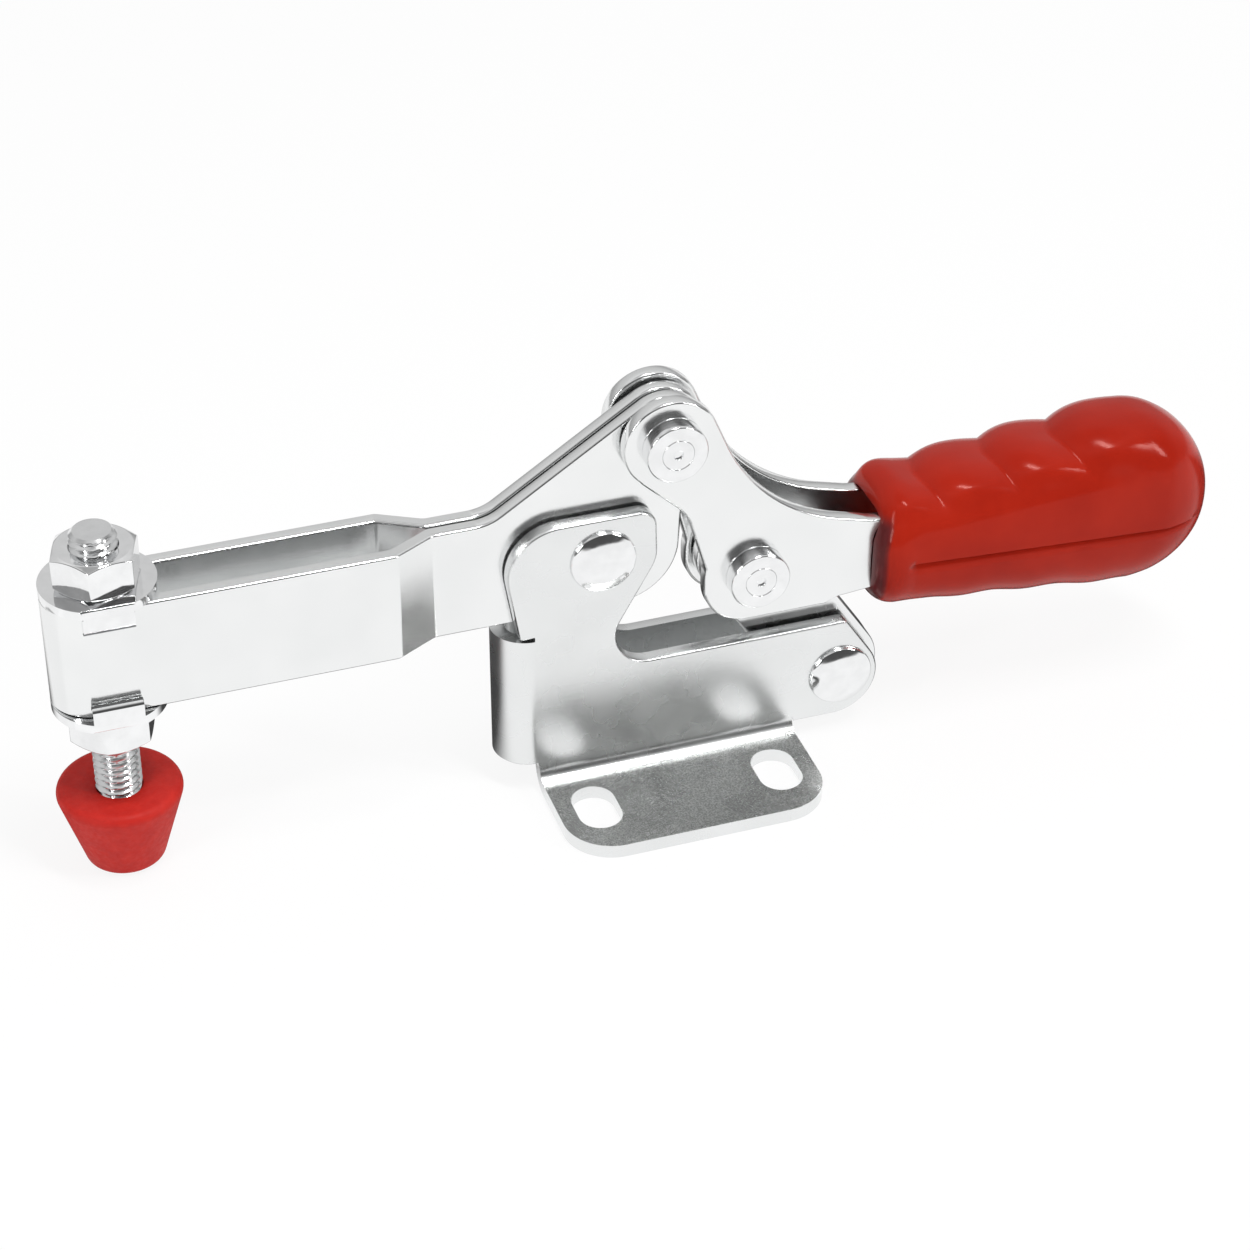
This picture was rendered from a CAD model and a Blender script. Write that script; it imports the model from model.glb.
import math

import bmesh
import bpy
from mathutils import Matrix, Vector


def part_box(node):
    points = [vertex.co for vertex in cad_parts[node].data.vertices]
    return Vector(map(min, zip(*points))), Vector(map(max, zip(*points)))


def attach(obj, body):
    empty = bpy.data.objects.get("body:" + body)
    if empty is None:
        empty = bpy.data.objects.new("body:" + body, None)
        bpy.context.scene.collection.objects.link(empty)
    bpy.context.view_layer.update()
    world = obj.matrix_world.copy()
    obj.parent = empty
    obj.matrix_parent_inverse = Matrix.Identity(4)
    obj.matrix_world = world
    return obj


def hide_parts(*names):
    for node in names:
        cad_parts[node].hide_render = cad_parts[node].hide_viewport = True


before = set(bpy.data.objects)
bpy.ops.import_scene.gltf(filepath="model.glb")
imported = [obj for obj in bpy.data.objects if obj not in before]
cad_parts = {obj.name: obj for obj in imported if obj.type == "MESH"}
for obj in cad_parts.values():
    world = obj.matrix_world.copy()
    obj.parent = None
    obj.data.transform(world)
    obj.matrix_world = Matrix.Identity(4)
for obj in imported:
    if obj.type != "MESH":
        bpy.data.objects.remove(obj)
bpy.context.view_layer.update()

MM = 0.001
scene = bpy.context.scene
scene.view_settings.view_transform = "Standard"


# ------------------------------------------------------------------ camera
# Place, turn from +Y towards +X, tilt down, and lens in millimetres on a 36 mm sensor
CAMERA_PLACE = Vector((-118.85, -337.95, 271.71)) * MM
CAMERA_AZIMUTH = math.radians(18.72)
CAMERA_ELEVATION = math.radians(35.14)
CAMERA_LENS = 96.32


def make_camera():
    """Camera at the photograph's viewing angle, level, looking at the middle of the clamp."""
    ahead = Vector((
        math.sin(CAMERA_AZIMUTH) * math.cos(CAMERA_ELEVATION),
        math.cos(CAMERA_AZIMUTH) * math.cos(CAMERA_ELEVATION),
        -math.sin(CAMERA_ELEVATION),
    ))
    right = Vector((math.cos(CAMERA_AZIMUTH), -math.sin(CAMERA_AZIMUTH), 0))
    up = right.cross(ahead)
    turn = Matrix((right, up, -ahead)).transposed()
    data = bpy.data.cameras.new("camera")
    data.lens = CAMERA_LENS
    data.sensor_width = 36
    data.clip_start = 0.01
    data.clip_end = 20
    camera = bpy.data.objects.new("camera", data)
    camera.matrix_world = Matrix.Translation(CAMERA_PLACE) @ turn.to_4x4()
    scene.collection.objects.link(camera)
    scene.camera = camera


# ------------------------------------------------------------------ node helpers
def map_range(tree, value, source, target=(0.0, 1.0), smooth=False):
    """Number going from target[0] to target[1] as the value crosses the source range."""
    node = tree.nodes.new("ShaderNodeMapRange")
    node.interpolation_type = "SMOOTHSTEP" if smooth else "LINEAR"
    node.inputs["From Min"].default_value = source[0]
    node.inputs["From Max"].default_value = source[1]
    node.inputs["To Min"].default_value = target[0]
    node.inputs["To Max"].default_value = target[1]
    tree.links.new(value, node.inputs["Value"])
    return node.outputs["Result"]


def combine(tree, operation, first, second):
    """Result of a maths operation on a socket and a second socket or plain number."""
    node = tree.nodes.new("ShaderNodeMath")
    node.operation = operation
    tree.links.new(first, node.inputs[0])
    if isinstance(second, float):
        node.inputs[1].default_value = second
    else:
        tree.links.new(second, node.inputs[1])
    return node.outputs[0]


def colour_ramp(tree, value, stops):
    """Colour through (position, (r, g, b)) stops, in order of position."""
    ramp = tree.nodes.new("ShaderNodeValToRGB")
    elements = ramp.color_ramp.elements
    while len(elements) < len(stops):
        elements.new(0.5)
    for element, (position, colour) in zip(elements, stops):
        element.position = position
        element.color = (*colour, 1)
    tree.links.new(value, ramp.inputs["Fac"])
    return ramp.outputs["Color"]


def mix_colours(tree, factor, first, second):
    """Colour that goes from the first to the second as the factor goes from 0 to 1."""
    mix = tree.nodes.new("ShaderNodeMix")
    mix.data_type = "RGBA"
    tree.links.new(factor, mix.inputs["Factor"])
    tree.links.new(first, mix.inputs["A"])
    tree.links.new(second, mix.inputs["B"])
    return mix.outputs["Result"]


def mix_shaders(tree, factor, first, second):
    """Shader that goes from the first to the second as the factor goes from 0 to 1."""
    mix = tree.nodes.new("ShaderNodeMixShader")
    tree.links.new(factor, mix.inputs["Fac"])
    tree.links.new(first, mix.inputs[1])
    tree.links.new(second, mix.inputs[2])
    return mix.outputs["Shader"]


def separated(tree, vector):
    """X, Y and Z sockets of a vector."""
    split = tree.nodes.new("ShaderNodeSeparateXYZ")
    tree.links.new(vector, split.inputs["Vector"])
    return split.outputs


# ------------------------------------------------------------------ materials
# Noise stays mostly between these two values
NOISE_SPAN = (0.3, 0.7)
# The base's feet: faces that look up (by the Z of their normal) and lie low (by their height)
FOOT_NORMAL = (0.85, 0.97)
FOOT_LEVEL = (2.6 * MM, 2.08 * MM)


class Shader:
    """A node material with one Principled shader and short helpers for its textures."""

    def __init__(self, name, metallic, roughness):
        self.material = bpy.data.materials.new(name)
        self.material.use_nodes = True
        self.tree = self.material.node_tree
        self.bsdf = self.tree.nodes["Principled BSDF"]
        self.bsdf.inputs["Metallic"].default_value = metallic
        self.bsdf.inputs["Roughness"].default_value = roughness
        self.coordinates = self.tree.nodes.new("ShaderNodeTexCoord")

    def noise(self, size, detail=2.0, stretch=(1, 1, 1)):
        """Noise with features of about the given size in metres; stretch lengthens them along an axis."""
        mapping = self.tree.nodes.new("ShaderNodeMapping")
        mapping.inputs["Scale"].default_value = [1 / (size * s) for s in stretch]
        texture = self.tree.nodes.new("ShaderNodeTexNoise")
        texture.inputs["Scale"].default_value = 1.0
        texture.inputs["Detail"].default_value = detail
        self.tree.links.new(self.coordinates.outputs["Object"], mapping.inputs["Vector"])
        self.tree.links.new(mapping.outputs["Vector"], texture.inputs["Vector"])
        return texture.outputs["Fac"]

    def toned(self, value, low, high, span=NOISE_SPAN):
        """Colour from low to high as the value crosses the span."""
        return colour_ramp(self.tree, value, [(span[0], low), (span[1], high)])

    def feet(self):
        """Factor that is 1 on the feet's upper faces and 0 elsewhere."""
        upward = separated(self.tree, self.coordinates.outputs["Normal"])["Z"]
        height = separated(self.tree, self.coordinates.outputs["Object"])["Z"]
        level = map_range(self.tree, upward, FOOT_NORMAL)
        low = map_range(self.tree, height, FOOT_LEVEL)
        return combine(self.tree, "MULTIPLY", level, low)

    def colour(self, output):
        self.tree.links.new(output, self.bsdf.inputs["Base Color"])

    def roughness(self, value, smooth, rough):
        """Roughness from smooth to rough as a noise value rises."""
        output = map_range(self.tree, value, NOISE_SPAN, (smooth, rough))
        self.tree.links.new(output, self.bsdf.inputs["Roughness"])

    def bump(self, height, distance):
        """Adds a bump of the given depth in metres, on top of any bump that is there."""
        node = self.tree.nodes.new("ShaderNodeBump")
        node.inputs["Strength"].default_value = 1.0
        node.inputs["Distance"].default_value = distance
        self.tree.links.new(height, node.inputs["Height"])
        before = self.bsdf.inputs["Normal"]
        if before.is_linked:
            self.tree.links.new(before.links[0].from_socket, node.inputs["Normal"])
        self.tree.links.new(node.outputs["Normal"], before)


def plated_steel(name, low, high, smooth, rough, grain, worn_feet=False):
    """Bright zinc plate on sheet steel: cloudy tone, fine grain and faint rolling lines."""
    shader = Shader(name, 1.0, smooth)
    tone = shader.toned(shader.noise(11 * MM), low, high, (0.2, 0.8))
    if worn_feet:
        speckle = shader.noise(0.18 * MM)
        worn = shader.toned(speckle, (0.40, 0.41, 0.40), (0.74, 0.75, 0.74), (0.38, 0.62))
        tone = mix_colours(shader.tree, shader.feet(), tone, worn)
    shader.colour(tone)
    shader.roughness(shader.noise(5 * MM), smooth, rough)
    shader.bump(shader.noise(0.22 * MM), grain)
    shader.bump(shader.noise(0.5 * MM, 1.0, (14, 1, 1)), grain * 0.7)
    return shader.material


def bright_metal(name, tone, smooth, rough):
    """Tumbled and plated small parts: mirror-like with soft dents and a few duller patches."""
    shader = Shader(name, 1.0, smooth)
    shader.colour(shader.toned(shader.noise(2 * MM), [t * 0.93 for t in tone], tone))
    shader.roughness(shader.noise(0.9 * MM, 3.0), smooth, rough)
    shader.bump(shader.noise(1.4 * MM, 1.0), 0.012 * MM)
    return shader.material


def glossy_vinyl():
    """Dip-moulded red vinyl: even colour, slight orange peel, clear gloss, dull round the mouth."""
    shader = Shader("red_vinyl", 0.0, 0.2)
    shader.bsdf.inputs["Specular IOR Level"].default_value = 0.17
    shader.bsdf.inputs["Specular Tint"].default_value = (1.0, 0.55, 0.5, 1)
    red = shader.toned(shader.noise(9 * MM, 3.0), (0.33, 0.014, 0.006), (0.40, 0.019, 0.008))
    dull = shader.toned(shader.noise(2 * MM), (0.085, 0.014, 0.015), (0.12, 0.02, 0.022))
    mouth = shader.tree.nodes.new("ShaderNodeAttribute")
    mouth.attribute_name = MOUTH_LAYER
    shader.colour(mix_colours(shader.tree, mouth.outputs["Fac"], red, dull))
    shader.roughness(shader.noise(3 * MM, 3.0), 0.12, 0.2)
    shader.bump(shader.noise(0.9 * MM), 0.01 * MM)
    return shader.material


def matte_rubber():
    """Moulded red rubber: dull, slightly mottled, with a fine pitted skin."""
    shader = Shader("red_rubber", 0.0, 0.55)
    shader.bsdf.inputs["Specular IOR Level"].default_value = 0.25
    shader.colour(shader.toned(shader.noise(1.5 * MM, 4.0), (0.50, 0.013, 0.008), (0.58, 0.02, 0.012)))
    shader.roughness(shader.noise(0.6 * MM, 3.0), 0.48, 0.66)
    shader.bump(shader.noise(0.25 * MM, 3.0), 0.02 * MM)
    return shader.material


# Vertex values of the grip's mesh: 1 round its mouth, 0 elsewhere
MOUTH_LAYER = "mouth"

SHEET = plated_steel("plated_sheet", (0.80, 0.81, 0.81), (0.86, 0.865, 0.865), 0.15, 0.21, 0.003 * MM)
BASE_SHEET = plated_steel(
    "plated_base", (0.75, 0.76, 0.76), (0.81, 0.82, 0.82), 0.24, 0.30, 0.006 * MM, worn_feet=True
)
RIVET = bright_metal("bright_rivet", (0.86, 0.865, 0.87), 0.06, 0.14)
NUT = bright_metal("bright_nut", (0.88, 0.885, 0.89), 0.05, 0.11)
THREAD = bright_metal("threaded_steel", (0.80, 0.805, 0.81), 0.12, 0.24)
VINYL = glossy_vinyl()
RUBBER = matte_rubber()


# ------------------------------------------------------------------ mesh helpers
# Two faces that meet at less than this are shaded as one smooth surface
SMOOTH_LIMIT = math.radians(50)
# Corners sharper than this are rounded over
CORNER_LIMIT = math.radians(60)
WELD_DISTANCE = 0.0005 * MM
FLAT_LIMIT = math.radians(0.5)
# How much more a large face counts than a small one in the shading of rounded edges
NORMAL_WEIGHT = 80
# The folds of a washer's tabs are at least this long
FOLD_LENGTH = 5 * MM


def shade(bm, limit=SMOOTH_LIMIT):
    """Smooth shading, with a hard edge wherever two faces meet at more than the limit."""
    for face in bm.faces:
        face.smooth = True
    for edge in bm.edges:
        edge.smooth = len(edge.link_faces) == 2 and edge.calc_face_angle(0) < limit


def finished(bm, name):
    """Mesh data from a bmesh, which is freed."""
    mesh = bpy.data.meshes.new(name)
    bm.to_mesh(mesh)
    bm.free()
    return mesh


def add_piece(name, mesh, body, node, material):
    """Links a finished mesh as the piece that stands for a CAD node."""
    mesh.materials.append(material)
    piece = bpy.data.objects.new(name, mesh)
    scene.collection.objects.link(piece)
    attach(piece, body)
    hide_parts(node)
    return piece


def fold_edges(bm):
    """Outer edges of a washer's folds: straight, along X, between a level face and an upright one."""
    found = []
    for edge in bm.edges:
        run = edge.verts[1].co - edge.verts[0].co
        along_x = abs(run.x) >= FOLD_LENGTH and abs(run.x) >= 0.99 * run.length
        if along_x and edge.calc_face_angle_signed(0) >= 1:
            if max(abs(face.normal.z) for face in edge.link_faces) > 0.9:
                found.append(edge)
    return found


def rounded_over(bm, edges, width, segments, clamp=True):
    """Rounds the edges by the given width; clamped where the rounding would pass a neighbour."""
    bmesh.ops.bevel(
        bm, geom=edges, offset=width, segments=segments, profile=0.5, clamp_overlap=clamp, affect="EDGES"
    )


def softened(suffix, node, body, slot, material, width, limit=CORNER_LIMIT, fold=0):
    """The CAD node's form with its outer edges rounded over and its shading weighted by face size."""
    bm = bmesh.new()
    bm.from_mesh(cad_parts[node].data)
    bmesh.ops.remove_doubles(bm, verts=bm.verts, dist=WELD_DISTANCE)
    bmesh.ops.dissolve_limit(bm, angle_limit=FLAT_LIMIT, verts=bm.verts, edges=bm.edges)
    bmesh.ops.recalc_face_normals(bm, faces=bm.faces)
    if fold:
        rounded_over(bm, fold_edges(bm), fold, 7, clamp=False)
    corners = [e for e in bm.edges if len(e.link_faces) == 2 and e.calc_face_angle_signed(0) > limit]
    rounded_over(bm, corners, width, 3)
    shade(bm)
    name = f"{node}_{suffix}"
    piece = add_piece(name, finished(bm, name), body, node, material)
    weighted = piece.modifiers.new("weighted", "WEIGHTED_NORMAL")
    weighted.keep_sharp = True
    weighted.weight = NORMAL_WEIGHT


def join_rings(bm, rings):
    """Skin over closed rings of equal length, with a flat face on each end."""
    count = len(rings[0])
    for before, after in zip(rings, rings[1:]):
        for k in range(count):
            n = (k + 1) % count
            bm.faces.new((before[k], before[n], after[n], after[k]))
    bm.faces.new(list(reversed(rings[0])))
    bm.faces.new(rings[-1])
    bmesh.ops.recalc_face_normals(bm, faces=bm.faces)


def spun(name, profile, centre, steps=96):
    """Closed mesh of revolution about the vertical line through centre, from (radius, height) points."""
    bm = bmesh.new()
    rings = []
    for radius, height in profile:
        if radius < 1e-9:
            rings.append([bm.verts.new((centre.x, centre.y, height))])
            continue
        ring = []
        for k in range(steps):
            angle = 2 * math.pi * k / steps
            x = centre.x + radius * math.cos(angle)
            y = centre.y + radius * math.sin(angle)
            ring.append(bm.verts.new((x, y, height)))
        rings.append(ring)
    for low, high in zip(rings, rings[1:]):
        for k in range(steps):
            after = (k + 1) % steps
            corners = (
                low[k % len(low)], low[after % len(low)], high[after % len(high)], high[k % len(high)]
            )
            bm.faces.new(list(dict.fromkeys(corners)))
    bmesh.ops.recalc_face_normals(bm, faces=bm.faces)
    shade(bm)
    return finished(bm, name)


def rounded_profile(points, steps=6):
    """Profile with each corner replaced by an arc-like curve; points are (radius, height, corner size)."""
    made = []
    for before, (x, z, size), after in zip([points[0]] + points, points, points[1:] + [points[-1]]):
        corner = Vector((x, z))
        if not size:
            made.append(tuple(corner))
            continue
        start = corner + (Vector(before[:2]) - corner).normalized() * size
        end = corner + (Vector(after[:2]) - corner).normalized() * size
        for k in range(steps + 1):
            t = k / steps
            made.append(tuple((1 - t) ** 2 * start + 2 * t * (1 - t) * corner + t ** 2 * end))
    return made


def smoothstep(low, high, value):
    t = min(1.0, max(0.0, (value - low) / (high - low)))
    return t * t * (3 - 2 * t)


def between(points, x):
    """Straight-line interpolation through (x, value) points."""
    if x <= points[0][0]:
        return points[0][1]
    for (x0, v0), (x1, v1) in zip(points, points[1:]):
        if x <= x1:
            return v0 + (v1 - v0) * (x - x0) / (x1 - x0)
    return points[-1][1]


# ------------------------------------------------------------------ sheet metal and pivots
# Rounding of the edges: stamped plates, turned and pressed small parts
STAMPED_EDGE = 0.35 * MM
CRISP_EDGE = 0.15 * MM
SMALL_PART_EDGE = 0.12 * MM
# Rivet through the base: its stem, and the height of the cheek's outer face that its head sits on
RIVET_STEM = 2.5 * MM
RIVET_SEAT = 4.61 * MM


def dress_sheet_metal():
    softened("sheet", "base", "mounting_base", "plated_sheet", BASE_SHEET, STAMPED_EDGE)
    softened("strip", "arm", "arm_body", "plated_sheet", SHEET, CRISP_EDGE)
    for side in ("left", "right"):
        softened("sheet", f"handle_plate_{side}", "handle_body", "plated_sheet", SHEET, CRISP_EDGE)
        softened("sheet", f"link_plate_{side}", "link_body", "plated_sheet", SHEET, STAMPED_EDGE)


def domed_rivet(node):
    """Rivet through the base with a button head at each end."""
    low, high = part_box(node)
    centre = (low + high) / 2
    reach = high.y - centre.y
    radius = (high.x - low.x) / 2
    head = [
        (0.0, reach, 0.0),
        (0.62 * radius, reach - 0.06 * MM, 1.0 * MM),
        (radius, reach - 0.85 * MM, 0.35 * MM),
        (radius, RIVET_SEAT, 0.12 * MM),
        (RIVET_STEM, RIVET_SEAT, 0.0),
    ]
    foot = [(r, -h, corner) for r, h, corner in reversed(head)]
    name = f"{node}_domed"
    mesh = spun(name, rounded_profile(head + foot), Vector((0, 0, 0)))
    mesh.transform(Matrix.Translation(centre) @ Matrix.Rotation(math.radians(90), 4, "X"))
    add_piece(name, mesh, "mounting_base", node, RIVET)


def dress_pivots():
    for node in ("arm_pivot_rivet", "link_base_rivet"):
        domed_rivet(node)
    turned = ["arm_handle_pin", "handle_link_pin"]
    for pivot in ("arm_handle", "handle_link"):
        turned += [f"{pivot}_collar_{side}" for side in ("left", "right")]
    for node in turned:
        softened("bright", node, "handle_body", "bright_rivet", RIVET, SMALL_PART_EDGE)


# ------------------------------------------------------------------ spindle group
THREAD_PITCH = 1.0 * MM
THREAD_DEPTH = 0.54 * MM
THREAD_STEPS = 12
THREAD_COLUMNS = 72
# The V between two crests is drawn steeper than its depth and cut off at both: flat crest, flat root
THREAD_STEEPNESS = 1.25
THREAD_CREST = 0.08
THREAD_CHAMFER = 1.1 * THREAD_DEPTH
THREAD_EDGE_LIMIT = math.radians(40)
CAP_BORE = 3.05 * MM
CAP_FOOT_RADIUS = 4.95 * MM
CAP_DISH_RADIUS = 4.6 * MM
CAP_BORE_FLOOR = 5 * MM
NUT_CORNER_LIMIT = math.radians(25)
WASHER_FOLD = 0.9 * MM


def thread_cut(z, turn, end_gap):
    """Depth of the cut at a height and part of a turn: a V with a flat root and crest, and end chamfers."""
    phase = (z / THREAD_PITCH - turn) % 1.0
    groove = min(1.0, max(0.0, THREAD_STEEPNESS * (1 - abs(2 * phase - 1)) - THREAD_CREST))
    return max(THREAD_DEPTH * groove, THREAD_CHAMFER - end_gap)


def threaded_spindle():
    """The M6 rod with its helical thread cut and both ends chamfered."""
    low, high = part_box("spindle")
    centre = (low + high) / 2
    radius = (high.x - low.x) / 2
    rows = round((high.z - low.z) / THREAD_PITCH * THREAD_STEPS)
    rings = []
    bm = bmesh.new()
    for row in range(rows + 1):
        z = low.z + (high.z - low.z) * row / rows
        end_gap = min(z - low.z, high.z - z)
        ring = []
        for k in range(THREAD_COLUMNS):
            turn = k / THREAD_COLUMNS
            r = radius - thread_cut(z, turn, end_gap)
            angle = 2 * math.pi * turn
            ring.append(bm.verts.new((centre.x + r * math.cos(angle), centre.y + r * math.sin(angle), z)))
        rings.append(ring)
    join_rings(bm, rings)
    shade(bm, THREAD_EDGE_LIMIT)
    mesh = finished(bm, "spindle_thread")
    add_piece("spindle_thread", mesh, "spindle_body", "spindle", THREAD)


def rubber_cap():
    """Conical cap: flat foot, soft rim and a shallow dish that the spindle stands in."""
    low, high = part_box("spindle_cap")
    foot, top = low.z, high.z
    rim = (high.x - low.x) / 2
    profile = rounded_profile([
        (0.0, foot, 0.0),
        (CAP_FOOT_RADIUS, foot, 0.9 * MM),
        (rim, top - 0.8 * MM, 0.7 * MM),
        (rim - 0.7 * MM, top, 0.5 * MM),
        (CAP_DISH_RADIUS, top - 0.1 * MM, 0.6 * MM),
        (CAP_BORE, top - 0.45 * MM, 0.0),
        (CAP_BORE, foot + CAP_BORE_FLOOR, 0.0),
        (0.0, foot + CAP_BORE_FLOOR, 0.0),
    ])
    mesh = spun("rubber_cap", profile, (low + high) / 2)
    add_piece("rubber_cap", mesh, "spindle_body", "spindle_cap", RUBBER)


def dress_spindle_group():
    threaded_spindle()
    rubber_cap()
    common = ("spindle_carriage", "bright_nut", NUT, SMALL_PART_EDGE)
    for node in ("upper_nut", "lower_nut"):
        softened("bright", node, *common, limit=NUT_CORNER_LIMIT)
    for node in ("upper_flanged_washer", "lower_flanged_washer"):
        softened("bright", node, *common, fold=WASHER_FOLD)


# ------------------------------------------------------------------ grip
# Here sizes are in millimetres: u and x run along the grip, from the mouth to the rear end.
# The lip curls round the mouth, and its upper part leans back.
LIP_START = 31.2
LIP_LENGTH = 3.15
LIP_STEPS = 12
LIP_RAKE = 1.3
RAKE_HEIGHTS = (29.0, 34.5)
RAKE_FADE = (30.0, 35.5)

# The rear end closes as a dome: in height first, in width a little later, with a rounder section
END_START = 65.5
END_LENGTH = 12.4
END_HEIGHT = 26.0
END_NARROWING = 68.0
END_NARROW_LENGTH = 9.95
END_STEPS = 26
END_TURN = math.radians(86.5)
ROUNDER_SPAN = (60.0, 76.0)

# Lines of the side view, as (x, height)
FINGER_VALLEYS = [(35.6, 35.7), (45.4, 36.9), (54.8, 38.0)]
TOP_LINE = [(27.0, 35.5), *FINGER_VALLEYS, (65.5, 40.1), (79.0, 40.1)]
UNDERSIDE = [(27.0, 18.9), (33.2, 18.6), (45.4, 17.3), (54.8, 16.1), (65.5, 14.6), (79.0, 14.6)]
RIDGE_LINE = [(27.0, 32.4), (70.0, 33.2)]
STEP_LINE = [(27.0, 27.9), (79.0, 24.8)]

# Finger shapes: their heights, and how far the valleys slant back at the top, as (x, slant)
FINGER_FRONT = 27.5
FINGER_HEIGHTS = [1.2, 1.5, 1.6, 1.3]
FINGER_RISE, FINGER_FALL = 3.2, 1.8
FINGER_SPACING = 0.4
FINGER_FADE = (0.45, 0.9)
VALLEY_SLANT = [(31.2, 0.0), (35.6, 2.6), (45.4, 3.1), (54.8, 4.2), (65.5, 1.6), (71.0, 0.0)]
WAVE_START, WAVE_LENGTH, WAVE_DEPTH = 35.6, 9.6, 0.35

# Ridge and step run along the sides: they rise from nothing near the mouth and fade near the end.
# Spans such as RIDGE_FADE are shares of the rows below the ridge or the step.
RELIEF_RISE = (31.5, 33.3)
RELIEF_END = (70.0, 75.5)
RIDGE_STEP = 0.16
RIDGE_FADE = (0.0, 0.3)
# The step cuts in under its line, comes back by most of its depth at once, and fades out lower down
STEP_DEPTH = 0.9
STEP_DROP = 0.14
STEP_REBOUND, STEP_REBOUND_SPAN = 0.65, (0.0, 0.12)
STEP_FADE = (0.1, 0.6)

HALF_WIDTH = 8.78
SECTION_POWER = 2.7
ROUNDER_BY = 0.5
MOUTH_HALF_WIDTH = 5.15
MOUTH_HALF_HEIGHT = 5.75
MOUTH_HEIGHT = 27.7
MOUTH_POWER = 5.0
MOUTH_DEPTHS = (5.0, 2.5, 1.0)
ROWS_TOP, ROWS_SIDE, ROWS_UNDER = 20, 6, 18
# Rows under the step crowd towards it by this power
ROWS_CROWDING = 1.4

# The mouth's dull tint fades out along the grip, upwards, and as the section widens
TINT_ALONG = (32.0, 33.0)
TINT_UPWARDS = (32.3, 34.3)
TINT_WIDENING = (7.45, 7.85)


def finger_bump(u):
    """Height of the finger shape over the line through the valleys: steep behind a valley, flat later."""
    edges = [FINGER_FRONT] + [x for x, _ in FINGER_VALLEYS] + [END_START]
    for start, end, height in zip(edges, edges[1:], FINGER_HEIGHTS):
        if start <= u <= end:
            t = (u - start) / (end - start)
            return height * (1 - (1 - t) ** FINGER_RISE) * (1 - t ** FINGER_FALL)
    return 0.0


def underside_wave(u):
    """Shallow finger hollows along the underside."""
    turns = (u - WAVE_START) / WAVE_LENGTH
    return WAVE_DEPTH * math.cos(math.pi * turns) ** 2 if 0 <= turns <= 3 else WAVE_DEPTH


def closing(u, start, length):
    """Share from 1 to 0 by which an elliptic end closes, a length after its start."""
    return math.sqrt(max(0.0, 1 - ((u - start) / length) ** 2)) if u > start else 1.0


def raked(x, z):
    """The upper part of the lip leans back from the mouth."""
    return x + LIP_RAKE * smoothstep(*RAKE_HEIGHTS, z) * (1 - smoothstep(*RAKE_FADE, x))


class GripSection:
    """Half of the grip's cross-section at u: a soft-cornered oval with fingers, a ridge and a step."""

    def __init__(self, u):
        self.u = u
        self.shrink = closing(u, END_START, END_LENGTH)
        self.width = HALF_WIDTH * closing(u, END_NARROWING, END_NARROW_LENGTH)
        self.power = SECTION_POWER - ROUNDER_BY * smoothstep(*ROUNDER_SPAN, u)
        top = self.drawn_in(between(TOP_LINE, u))
        low = self.drawn_in(between(UNDERSIDE, u) + underside_wave(u))
        self.centre = (top + low) / 2
        self.half = (top - low) / 2
        self.ridge = self.drawn_in(between(RIDGE_LINE, u))
        self.step = self.drawn_in(between(STEP_LINE, u))
        self.slant = between(VALLEY_SLANT, u)
        self.relief = smoothstep(*RELIEF_RISE, u) * (1 - smoothstep(*RELIEF_END, u))

    def drawn_in(self, height):
        """A height, drawn towards the rear end's tip."""
        return END_HEIGHT + (height - END_HEIGHT) * self.shrink

    def angle_of(self, rise):
        """Angle from the vertical at which the oval is this far from its centre's height."""
        return math.acos(min(1.0, max(0.0, rise / self.half)) ** (self.power / 2))

    def oval(self, angle, up):
        """Half width and height of the oval at an angle from the vertical, above or below the centre."""
        y = self.width * abs(math.sin(angle)) ** (2 / self.power)
        return y, self.centre + up * self.half * math.cos(angle) ** (2 / self.power)

    def finger_rows(self):
        """From the top centre line down to the ridge."""
        points = []
        end = self.angle_of(self.ridge - self.centre)
        for k in range(ROWS_TOP):
            part = k / ROWS_TOP
            y, z = self.oval(end * part, 1)
            out = Vector((y / self.width ** 2, (z - self.centre) / self.half ** 2)).normalized()
            lift = finger_bump(self.u) * (1 - smoothstep(*FINGER_FADE, part)) * self.shrink
            points.append((self.u + self.slant * part, y + out.x * lift, z + out.y * lift))
        return points

    def side_rows(self):
        """From the ridge down to the step."""
        points = []
        for k in range(ROWS_SIDE + 1):
            part = k / ROWS_SIDE
            z = self.ridge + (self.step - self.ridge) * part
            t = min(1.0, abs(z - self.centre) / self.half)
            y = self.width * (1 - t ** self.power) ** (1 / self.power)
            y -= RIDGE_STEP * smoothstep(*RIDGE_FADE, part) * self.relief
            points.append((self.u + self.slant * (1 - part), y, z))
        return points

    def under_rows(self):
        """From under the step down to the bottom centre line."""
        points = []
        start = self.angle_of(self.centre - self.step + STEP_DROP)
        for k in range(ROWS_UNDER + 1):
            part = k / ROWS_UNDER
            y, z = self.oval(start * (1 - part ** ROWS_CROWDING), -1)
            rebound = 1 - STEP_REBOUND * smoothstep(*STEP_REBOUND_SPAN, part)
            inset = STEP_DEPTH * self.relief * rebound * (1 - smoothstep(*STEP_FADE, part))
            points.append((self.u, max(0.0, y - inset), z))
        return points

    def points(self):
        """(x, y, z) points from the top centre line round to the bottom."""
        rows = self.finger_rows() + self.side_rows() + self.under_rows()
        return on_centre_line([(raked(x, z), y, z) for x, y, z in rows])


def on_centre_line(points):
    """The points with the first and the last one put on the grip's middle plane."""
    first, last = points[0], points[-1]
    return [(first[0], 0.0, first[2]), *points[1:-1], (last[0], 0.0, last[2])]


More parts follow.
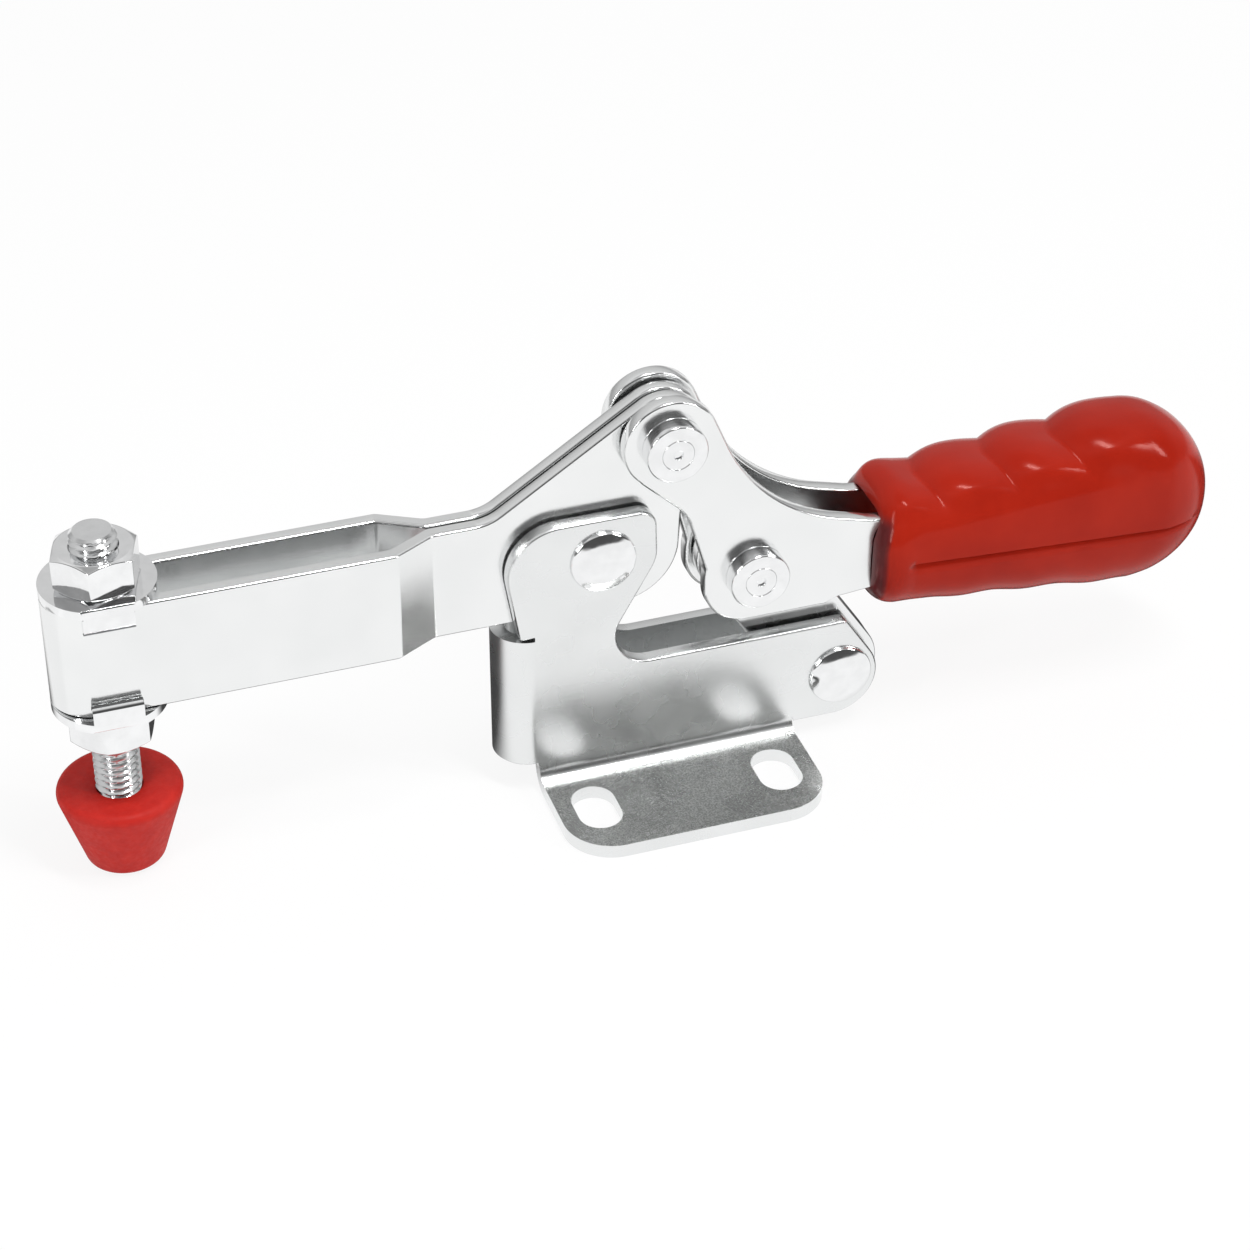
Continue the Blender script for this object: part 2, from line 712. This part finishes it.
def mouth_points(x, outer, share):
    """The outer half section drawn in towards the mouth opening by a share from 0 to 1."""
    centre = (outer[0][2] + outer[-1][2]) / 2
    half = (outer[0][2] - outer[-1][2]) / 2
    points = []
    for _, y, z in outer:
        angle = math.atan2(y / HALF_WIDTH, (z - centre) / half)
        mouth_y = MOUTH_HALF_WIDTH * abs(math.sin(angle)) ** (2 / MOUTH_POWER)
        rise = math.copysign(abs(math.cos(angle)) ** (2 / MOUTH_POWER), math.cos(angle))
        height = z + (MOUTH_HEIGHT + MOUTH_HALF_HEIGHT * rise - z) * share
        points.append((raked(x, height), y + (mouth_y - y) * share, height))
    return on_centre_line(points)


def grip_stations():
    """Half sections from the bottom of the mouth, over the lip and along to the rear end."""
    outer = GripSection(LIP_START).points()
    front = LIP_START - LIP_LENGTH
    stations = [mouth_points(front + depth, outer, 1.0) for depth in MOUTH_DEPTHS]
    for k in range(LIP_STEPS, 0, -1):
        angle = math.pi / 2 * k / LIP_STEPS
        stations.append(mouth_points(LIP_START - LIP_LENGTH * math.sin(angle), outer, 1 - math.cos(angle)))
    marks = [LIP_START] + [x for x, _ in FINGER_VALLEYS] + [END_START]
    for start, end in zip(marks, marks[1:]):
        count = round((end - start) / FINGER_SPACING)
        stations += [GripSection(start + (end - start) * k / count).points() for k in range(count)]
    for k in range(END_STEPS):
        angle = END_TURN * k / (END_STEPS - 1)
        stations.append(GripSection(END_START + END_LENGTH * math.sin(angle)).points())
    return stations


def mouth_tint(place, reach):
    """Strength of the mouth's tint at a vertex, with the half width of its ring."""
    in_front = 1 - smoothstep(*TINT_ALONG, place.x / MM)
    beside = 1 - smoothstep(*TINT_UPWARDS, place.z / MM)
    return in_front * beside * (1 - smoothstep(*TINT_WIDENING, reach / MM))


def moulded_grip():
    """Red sleeve with its mouth, lip, finger shapes, side ridge and step."""
    bm = bmesh.new()
    tint = bm.verts.layers.float.new(MOUTH_LAYER)
    rings = []
    for half in grip_stations():
        right = [Vector(p) * MM for p in half]
        left = [Vector((p.x, -p.y, p.z)) for p in reversed(right[1:-1])]
        ring = [bm.verts.new(p) for p in right + left]
        reach = abs(ring[len(right) // 2].co.y)
        for vert in ring:
            vert[tint] = mouth_tint(vert.co, reach)
        rings.append(ring)
    join_rings(bm, rings)
    shade(bm)
    mesh = finished(bm, "moulded_grip")
    add_piece("moulded_grip", mesh, "handle_body", "grip", VINYL)


# ------------------------------------------------------------------ studio
FLOOR_REACH = 4.0
FLOOR_HEIGHT = -0.02 * MM
# Share of plain white in what the camera sees of the floor; the rest takes light and shadow
WHITE_SHARE = 0.88
# What metal sees of the floor: places along Y or X, and the tones from the first place to the second
FRONT_BAND, FRONT_TONES = (-8 * MM, 8 * MM), (1.06, 0.06)
LEFT_BAND, LEFT_TONES = (-105 * MM, -85 * MM), (1.0, 0.0)
BACK_BAND, BACK_TONES = (25 * MM, 65 * MM), (0.0, 0.9)
# Grey tones of the sky by direction, from straight down at 0 over the horizon at 0.5 to straight up at 1
SKY_BEHIND = [(0.0, 0.9), (0.5, 0.35), (0.58, 0.5), (0.7, 0.72), (0.8, 0.75), (0.92, 0.95), (0.98, 0.45)]
SKY_IN_FRONT = [(0.0, 0.9), (0.5, 0.7), (0.53, 0.1), (0.78, 0.08), (0.87, 0.5), (0.94, 0.95), (0.98, 0.45)]
SKY_STRENGTH = 0.9
# The front sky goes over into the one behind while the direction's Y is within this of 0
SKY_BLEND = 0.3
# Softboxes in metres: name, place, (width, height), watts
SOFTBOXES = [
    ("top_softbox", (0.1, -0.2, 0.72), (0.09, 0.34), 2.8),
    ("right_softbox", (0.55, -0.45, 0.4), (0.08, 0.3), 1.6),
    ("left_softbox", (-0.6, -0.35, 0.3), (0.08, 0.3), 1.2),
]
LIT_POINT = Vector((0.0, 0.0, 0.03))


def mirrored_floor(tree):
    """Tone of the floor in reflections: white but for a dark band just behind the clamp."""
    place = separated(tree, tree.nodes.new("ShaderNodeTexCoord").outputs["Object"])
    front = map_range(tree, place["Y"], FRONT_BAND, FRONT_TONES, smooth=True)
    left = map_range(tree, place["X"], LEFT_BAND, LEFT_TONES, smooth=True)
    back = map_range(tree, place["Y"], BACK_BAND, BACK_TONES, smooth=True)
    return combine(tree, "MAXIMUM", combine(tree, "MAXIMUM", front, left), back)


def floor_material():
    """Pale matt floor, almost plain white to the camera, with its own tones in reflections."""
    material = bpy.data.materials.new("floor")
    material.use_nodes = True
    tree = material.node_tree
    bsdf = tree.nodes["Principled BSDF"]
    bsdf.inputs["Base Color"].default_value = (0.9, 0.9, 0.9, 1)
    bsdf.inputs["Roughness"].default_value = 0.9
    bsdf.inputs["Specular IOR Level"].default_value = 0.0
    path = tree.nodes.new("ShaderNodeLightPath")
    white = tree.nodes.new("ShaderNodeEmission")
    whitened = combine(tree, "MULTIPLY", path.outputs["Is Camera Ray"], WHITE_SHARE)
    seen = mix_shaders(tree, whitened, bsdf.outputs["BSDF"], white.outputs["Emission"])
    mirrored = tree.nodes.new("ShaderNodeEmission")
    tree.links.new(mirrored_floor(tree), mirrored.inputs["Strength"])
    surface = mix_shaders(tree, path.outputs["Is Glossy Ray"], seen, mirrored.outputs["Emission"])
    tree.links.new(surface, tree.nodes["Material Output"].inputs["Surface"])
    return material


def make_floor():
    bm = bmesh.new()
    bmesh.ops.create_grid(bm, x_segments=2, y_segments=2, size=FLOOR_REACH)
    mesh = finished(bm, "floor")
    mesh.materials.append(floor_material())
    floor = bpy.data.objects.new("floor", mesh)
    floor.location.z = FLOOR_HEIGHT
    scene.collection.objects.link(floor)


def grey_ramp(tree, value, tones):
    return colour_ramp(tree, value, [(position, (tone, tone, tone)) for position, tone in tones])


def make_world():
    """Studio round the clamp: pale behind, dark in front above the floor; plain white to the camera."""
    world = bpy.data.worlds.new("studio")
    scene.world = world
    world.use_nodes = True
    tree = world.node_tree
    direction = separated(tree, tree.nodes.new("ShaderNodeTexCoord").outputs["Generated"])
    height = map_range(tree, direction["Z"], (-1.0, 1.0))
    behind = map_range(tree, direction["Y"], (-SKY_BLEND, SKY_BLEND))
    in_front = grey_ramp(tree, height, SKY_IN_FRONT)
    tone = mix_colours(tree, behind, in_front, grey_ramp(tree, height, SKY_BEHIND))
    sky = tree.nodes["Background"]
    sky.inputs["Strength"].default_value = SKY_STRENGTH
    tree.links.new(tone, sky.inputs["Color"])
    white = tree.nodes.new("ShaderNodeBackground")
    white.inputs["Color"].default_value = (1, 1, 1, 1)
    camera_ray = tree.nodes.new("ShaderNodeLightPath").outputs["Is Camera Ray"]
    surface = mix_shaders(tree, camera_ray, sky.outputs["Background"], white.outputs["Background"])
    tree.links.new(surface, tree.nodes["World Output"].inputs["Surface"])


def make_lights():
    for name, place, (width, height), watts in SOFTBOXES:
        data = bpy.data.lights.new(name, "AREA")
        data.shape = "RECTANGLE"
        data.size = width
        data.size_y = height
        data.energy = watts
        light = bpy.data.objects.new(name, data)
        light.location = place
        light.rotation_mode = "QUATERNION"
        light.rotation_quaternion = (LIT_POINT - Vector(place)).to_track_quat("-Z", "Y")
        scene.collection.objects.link(light)


make_camera()
make_floor()
make_world()
make_lights()
dress_sheet_metal()
dress_pivots()
dress_spindle_group()
moulded_grip()
